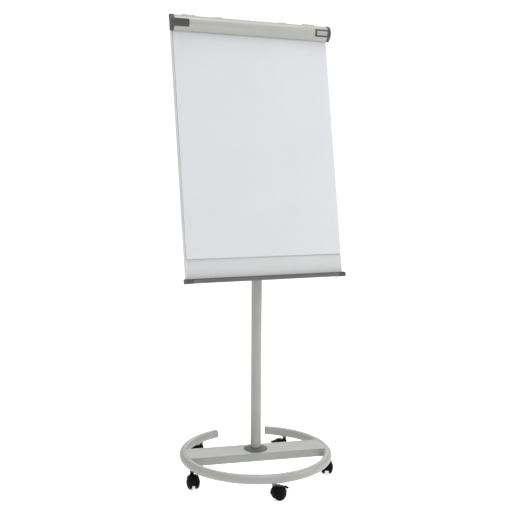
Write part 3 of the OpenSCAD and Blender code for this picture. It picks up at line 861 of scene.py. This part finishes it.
def build_hinge_blocks():
    low, high = extent("hinge_blocks", BOARD)
    slot_in, slot_out, step = 262.2, 281.8, high.z - 13
    outside = fillet([(low.y, low.z), (high.y, low.z), (high.y, high.z), (low.y + 4.2, high.z),
                      (low.y, high.z - 4.2)], [0.4, 1.2, 2.2, 1.4, 1.4], 4)
    lowered = [(y, min(z, step)) for y, z in outside]
    stops = [(246, outside), (slot_in, outside), (slot_in, lowered),
             (slot_out, lowered), (slot_out, outside), (298, outside)]
    shape = Shape()
    for side in (-1, 1):
        shape.merge(Shape().loft([[(side * x, y, z) for y, z in ring] for x, ring in stops]).soften(0.6, 2))
    add("hinge_blocks_moulded", shape, LIGHT, "hinge_blocks")

    low, high = extent("hook_rail", BOARD)
    section = fillet(rectangle(low.y, high.y, low.z, high.z), [0.2, 0.2, 1.4, 1.4], 4)
    rail = Shape().extrude(section, "x", low.x, high.x, cuts=4)
    add("hook_rail_bar", rail, ZINC, "hook_rail")

    lugs = Shape()
    foot = extent("bar_lugs", BOARD)[0].z
    outline = arc((BAR_AXIS.y, BAR_AXIS.z), 5, 200, -60, 20)
    outline += [(-2, foot + 0.2), (-10, foot + 0.2), (-10, foot + 3.6), (-7.4, foot + 4)]
    for side in (-1, 1):
        lugs.extrude(outline, "x", side * (slot_in + 0.4), side * (slot_out - 0.4))
    add("bar_lugs_folded", lugs, ZINC, "bar_lugs")


def build_hooks():
    rail_low, rail_high = extent("hook_rail", BOARD)
    front, play, on_rail = -4.4, 0.4, rail_low.z + 3.8
    before, behind, above = rail_low.y - play, rail_high.y + play, rail_high.z + play
    for name in ("hook_left", "hook_right"):
        low, high = extent(name, BOARD)
        middle, under = (low.x + high.x) / 2, low.z
        carrier = fillet([(front, on_rail), (before, on_rail), (before, above), (behind, above),
                          (behind, on_rail), (high.y, on_rail), (high.y, high.z), (front, high.z)],
                         [0.6, 0.2, 0.3, 0.3, 0.2, 0.6, 3.5, 3.5], 4)
        shape = Shape().extrude(carrier, "x", low.x, high.x).soften(0.7, 3)
        arm = fillet(rectangle(middle - 6, middle + 6, under, high.z - 10), [5.8, 5.8, 1, 1], 6)
        shape.merge(Shape().extrude(arm, "y", front, front + 2.7).soften(0.5, 2))
        peg = fillet([(0, 0), (3.6, 0), (3, 1.2), (3, 9.4), (3, 12), (0, 12)], [0, 0.3, 0.8, 0.4, 1.4, 0], 4,
                     closed=False)
        shape.turned(peg, 32, at(middle, front, under + 6, 90))
        add(f"{name}_moulded", shape, LIGHT, name)


# ---------- clamp bar ----------
bar_low, bar_high = extent("clamp_bar", BOARD)
BAR_BACK = bar_high.y
BULGE_R, NOSE_R = 30.0, 6.5
BULGE, NOSE = (-9.5, bar_high.z - BULGE_R), (-12.0, bar_low.z + NOSE_R)


def bar_curve(grow, steps=24):
    """The bar's outer line: over the bulge, along the shared tangent and round the nose."""
    gap = Vector((BULGE[0] - NOSE[0], BULGE[1] - NOSE[1]))
    tangent = degrees(atan2(gap.y, gap.x) + acos((NOSE_R - BULGE_R) / gap.length))
    nose = arc(NOSE, NOSE_R + grow, tangent, 360, steps // 2)
    return arc(BULGE, BULGE_R + grow, 90, tangent, steps) + nose


def build_clamp_bar():
    wall = 2.2
    outer = [(BAR_BACK, bar_high.z)] + bar_curve(0, 36)
    inner = [(BAR_BACK, bar_high.z - wall)] + bar_curve(-wall)
    shape = Shape().extrude(outer + inner[::-1], "x", bar_low.x, bar_high.x, cuts=6)
    add("clamp_bar_extruded", shape, BAR, "clamp_bar")

    low, high = extent("grip_strip", BOARD)
    grip = Shape()
    profile = [(low.y, low.z), (high.y, low.z)]
    ribs = 4
    for k in range(ribs):
        z = low.z + (high.z - low.z) * (k + 0.5) / ribs
        profile += [(high.y - 0.5, z - 0.4), (high.y, z), (high.y, z + 0.3)]
    profile += [(high.y, high.z), (low.y, high.z)]
    grip.extrude(profile, "x", low.x, high.x, cuts=4)
    add("grip_strip_ribbed", grip, RUBBER, "grip_strip")


TAB_FROM, TAB_TO, TAB_IN, TAB_T = 167.0, 226.0, 284.0, 2.0


def tab_patch(shape, side, x0, x1, a0, a1, low, high):
    """A plate over the bar's bulge, from x0 to x1, over an arc and between two heights."""
    outline = arc(BULGE, BULGE_R + high, a0, a1, 18) + arc(BULGE, BULGE_R + low, a1, a0, 18)
    shape.merge(Shape().extrude(outline, "x", side * x0, side * x1).soften(0.35, 2))


def build_bar_caps():
    """End caps, each with a tab that has a raised rim; the right tab carries a blank label."""
    grow, rim = 1.5, 3.2
    turn = degrees(rim / BULGE_R)
    inside, under_rim, cap = TAB_IN + rim, TAB_IN + rim * 0.6, bar_high.x + 0.5
    outline = [(BAR_BACK, bar_high.z + grow)] + bar_curve(grow) + [(BAR_BACK, NOSE[1])]
    for side, name in ((-1, "bar_cap_left"), (1, "bar_cap_right")):
        end = side * extent("bar_cap_right", BOARD)[1].x
        shape = Shape().extrude(outline, "x", side * bar_high.x, end).soften(1.6, 4)
        tab_patch(shape, side, TAB_IN + 1, cap, TAB_FROM + 1, TAB_TO - 1, 0, TAB_T - 0.7)
        tab_patch(shape, side, TAB_IN, inside, TAB_FROM, TAB_TO, 0, TAB_T)
        for start in (TAB_FROM, TAB_TO - turn):
            tab_patch(shape, side, under_rim, cap, start, start + turn, 0, TAB_T)
        add(f"{name}_moulded", shape, CAP, name)
    label, inset = Shape(), turn + 6.5
    tab_patch(label, 1, inside + 4.4, bar_high.x - 4.4, TAB_FROM + inset, TAB_TO - inset,
              TAB_T - 0.75, TAB_T - 0.25)
    add("blank_label", label, LABEL, "bar_cap_right", stands_in=False)


# ---------- castors ----------
AXLE, LEVER_PIN = (CASTORS[1].inverted() @ joint_place(f"castor_1_{motion}")[0] * 1000
                   for motion in ("roll", "brake_press"))
wheel_low, wheel_high = extent("castor_1_wheels", CASTORS[1])
WHEEL_R, WHEEL_IN, WHEEL_OUT = (wheel_high.z - wheel_low.z) / 2, 9.3, wheel_high.y
HOOD_R, WEB_W = WHEEL_R + 5, 8.5


def wheel_mesh():
    """Two domed wheels, with a hub cap, a dished face and a rounded tread, about the y axis."""
    dome_r = 45.7

    def dome(r):
        return WHEEL_OUT - dome_r + sqrt(dome_r ** 2 - r ** 2)

    groove = 0.9
    face = [(WHEEL_R, WHEEL_IN + 1.4)]
    face += [(WHEEL_R - 0.05 * (y - 12) ** 2, y) for y in (12, 13.5, 15, 16.5, 18, 19.3, 20.4)]
    face += [(r, dome(r) - drop) for r, drop in (
        (23.7, 0.3), (23.0, 0.1), (22.4, 0), (21.6, 0.2), (21.3, groove), (20.6, groove), (20.2, 0.4),
        (16, 0.3), (12.6, 0.3), (12.1, 0.1), (11.4, 0), (9.2, 0), (8.7, 0.2), (8.5, groove), (7.9, groove),
        (7.7, 0.3), (7.2, 0), (4, 0), (0, 0))]
    inside = [(0, 26.3), (4.3, 26.3), (4.3, WHEEL_IN), (WHEEL_R - 1.4, WHEEL_IN)]
    shape = Shape()
    for side in (-1, 1):
        shape.turned(inside + face, 72, at(0, 0, 0, -side * 90))
    return shape.mesh("castor_wheel_pair")


def hood_mesh():
    """Web between the wheels, the crowned hood over them, the lever's slot and the stem's boss."""
    skin, crown, half, edge = 1.6, 0.0115, 21.5, 11.3
    lead, tail = 187.0, 13.0
    slot_end, slot_floor = 51.5, 26.0

    def outer(y):
        return HOOD_R - crown * y * y

    roof = [(y, outer(y)) for y in (edge, 14, 16.5, 18.5, half - 0.8)] + [(half, outer(half) - skin * 0.4)]
    under = [(y, outer(y) - skin) for y in (half - 0.4, 19.5, 17.5, 15, 13, edge)]
    web = [(WEB_W + 1, outer(WEB_W) - skin), (WEB_W, outer(WEB_W) - skin - 1), (WEB_W, slot_floor),
           (WEB_W, 6.0)]
    half_section = roof + under + web
    count = len(half_section)
    section = half_section + [(-y, r) for y, r in reversed(half_section)]
    skirt = list(range(len(roof) + len(under)))
    column = [count - 2, count - 1, count, count + 1]
    gable = [0, *range(len(roof) + len(under) - 1, count - 1)]
    gable += [2 * count - 1 - i for i in reversed(gable)]

    def ring(angle, chosen):
        a = radians(angle)
        return [(AXLE.x + section[i][1] * cos(a), section[i][0], AXLE.z + section[i][1] * sin(a))
                for i in chosen]

    def sweep(start, end, steps, chosen):
        shape.loft([ring(start + (end - start) * k / steps, chosen) for k in range(steps + 1)], caps=False)

    shape = Shape()
    whole = list(range(2 * count))
    for part in (skirt, [2 * count - 1 - i for i in skirt], column):
        sweep(tail, slot_end, 9, part)
        shape.face(ring(tail, part))
    sweep(slot_end, lead, 36, whole)
    shape.face(ring(slot_end, gable)).face(ring(lead, whole))
    shape.soften(0.45, 2, 62)
    disc = fillet(rectangle(4.1, 17, -WEB_W - 0.1, WEB_W + 0.1), [0.2, 1, 1, 0.2], 3)
    shape.turned(disc, 48, at(AXLE.x, 0, AXLE.z, 90), loop=True)
    top = 62.5
    boss = fillet([(5.2, 40), (12, 40), (11.4, 50), (8, 57), (8, top), (5.2, top)], [0, 0, 4, 3, 0.8, 0.4], 4)
    shape.turned(boss, 40, loop=True)
    return shape.mesh("castor_hood")


def lever_mesh():
    """Press-down brake lever with a thick ribbed toe, hinged on a pin across the hood's slot."""
    width, top = 11.0, 3.2
    toe = fillet([(-1.5, -2.4), (11.5, -2.4), (13.5, -4.4), (18.6, -4.4), (20, -2.6), (20, top - 1.2),
                  (18.4, top), (13.4, top), (11.6, 1.2), (-1.5, 2.4)],
                 [2.2, 2, 1.5, 1.5, 1.5, 1.2, 1.2, 1.0, 2.5, 2.2], 4)
    shape = Shape().extrude(toe, "y", -width, width).soften(0.8, 3)
    for k in range(4):
        x = 13.8 + k * 1.35
        shape.bead([(x, -width + 2.2, top), (x, 0, top), (x, width - 2.2, top)], 0.32, sides=6)
    pin = fillet([(0, -13.9), (1.2, -13.9), (1.2, 13.9), (0, 13.9)], 0.2, 2, closed=False)
    shape.turned(pin, 20, at(0, 0, 0, 90))
    return shape.mesh("castor_lever")


def build_castors():
    wheels, hood, lever = wheel_mesh(), hood_mesh(), lever_mesh()
    tip_down = 21
    at_axle = Matrix.Translation(Vector((AXLE.x, 0, AXLE.z)) / 1000)
    at_pin = Matrix.Translation(Vector((LEVER_PIN.x, 0, LEVER_PIN.z)) / 1000) @ at(0, 0, 0, tip_down, "Y")
    for number, place in CASTORS.items():
        name = f"castor_{number}"
        add(f"{name}_hood", hood, BLACK, f"{name}_housing", place)
        add(f"{name}_wheel_pair", wheels, NYLON, f"{name}_wheels", place @ at_axle)
        add(f"{name}_lever", lever, BLACK, f"{name}_brake", place @ at_pin)


# ---------- CAD nodes that stay ----------
def finish_cad_nodes():
    kept = {
        "castor_sockets": STEM, "column_flange": ZINC, "flange_bolts": ZINC, "height_screw": ZINC,
        "mast_plug": ZINC, "hinge_pins": ZINC, "guide_bush": KNOB, "mast_glide": KNOB, "board_core": CORE,
    }
    kept.update({f"castor_{number}_axle": ZINC for number in CASTORS})
    for name, material in kept.items():
        data = nodes[name].data
        data.materials.clear()
        data.materials.append(material)


# ---------- studio ----------
def soft_light(name, place, target, size, power):
    light = bpy.data.lights.new(name, "AREA")
    light.shape, light.size, light.size_y = "RECTANGLE", size[0], size[1]
    light.energy = power
    lamp = bpy.data.objects.new(name, light)
    bpy.context.scene.collection.objects.link(lamp)
    lamp.location = place
    lamp.rotation_mode = "QUATERNION"
    lamp.rotation_quaternion = (Vector(target) - Vector(place)).to_track_quat("-Z", "Y")


def build_studio():
    scene = bpy.context.scene
    world = bpy.data.worlds.new("studio")
    world.use_nodes = True
    scene.world = world
    tree = world.node_tree
    background, seen = tree.nodes["Background"], tree.nodes.new("ShaderNodeBackground")
    for node, strength in ((background, 0.6), (seen, 1.05)):
        node.inputs["Color"].default_value = (1, 1, 1, 1)
        node.inputs["Strength"].default_value = strength
    path = tree.nodes.new("ShaderNodeLightPath")
    mix = tree.nodes.new("ShaderNodeMixShader")
    tree.links.new(path.outputs["Is Camera Ray"], mix.inputs[0])
    tree.links.new(background.outputs[0], mix.inputs[1])
    tree.links.new(seen.outputs[0], mix.inputs[2])
    tree.links.new(mix.outputs[0], tree.nodes["World Output"].inputs["Surface"])

    data = bpy.data.meshes.new("floor")
    floor_bm = bmesh.new()
    bmesh.ops.create_grid(floor_bm, x_segments=2, y_segments=2, size=14.0)
    floor_bm.to_mesh(data)
    floor_bm.free()
    floor = bpy.data.objects.new("floor", data)
    scene.collection.objects.link(floor)
    p = Paint("floor_white", (0.93, 0.93, 0.93), 0.8, Emission_Color=(1, 1, 1, 1))
    p.toward((0.91, 0.91, 0.91), p.spread(p.noise(1.5), 0.4, 0.7))
    seen = p.spread(p.node("ShaderNodeLightPath").outputs["Is Camera Ray"], 0, 1, 0.25, 0.66)
    p.tree.links.new(seen, p.shader.inputs["Emission Strength"])
    p.rough(p.noise(8), 0.75, 0.9)
    data.materials.append(p.material)

    soft_light("key", (2.8, -1.8, 2.6), (0, 0, 0.9), (2.0, 2.0), 33)
    soft_light("fill", (-3.4, -2.4, 3.0), (0, 0, 1.4), (2.4, 2.8), 4)
    soft_light("back", (1.6, 3.4, 2.8), (0, 0, 1), (2.4, 2.2), 30)
    soft_light("top", (0.4, -1.6, 8.4), (0, 0, 0.2), (5.4, 5.4), 225)


def build_camera():
    """The side and height that the object is usually shown from, a little to the left of its front."""
    yaw, pitch, roll = radians(23.03), radians(5.96), radians(0.36)
    forward = Vector((sin(yaw) * cos(pitch), cos(yaw) * cos(pitch), -sin(pitch)))
    level = Vector((cos(yaw), -sin(yaw), 0))
    upright = level.cross(forward)
    right = cos(roll) * level + sin(roll) * upright
    up = -sin(roll) * level + cos(roll) * upright
    camera = bpy.data.objects.new("camera", bpy.data.cameras.new("camera"))
    camera.data.lens, camera.data.sensor_width = 57.5, 36.0
    camera.matrix_world = Matrix((right, up, -forward)).transposed().to_4x4()
    camera.location = (-1.3463, -3.1467, 1.3080)
    bpy.context.scene.collection.objects.link(camera)
    bpy.context.scene.camera = camera
    bpy.context.scene.view_settings.view_transform = "Standard"


for build in (build_camera, build_studio, build_ring, build_end_plugs, build_beam):
    build()
build_tube("column_tube", "column_outer_tube", 2.0, 0.6, 72, 6)
build_cover()
build_stems()
build_height_clamp()
build_tube("mast_tube", "mast_inner_tube", 1.5, 0.5, 64)
for build in (build_head, build_bracket, build_panel, build_frames, build_tray, build_pad,
              build_hinge_blocks, build_hooks, build_clamp_bar, build_bar_caps, build_castors):
    build()
finish_cad_nodes()
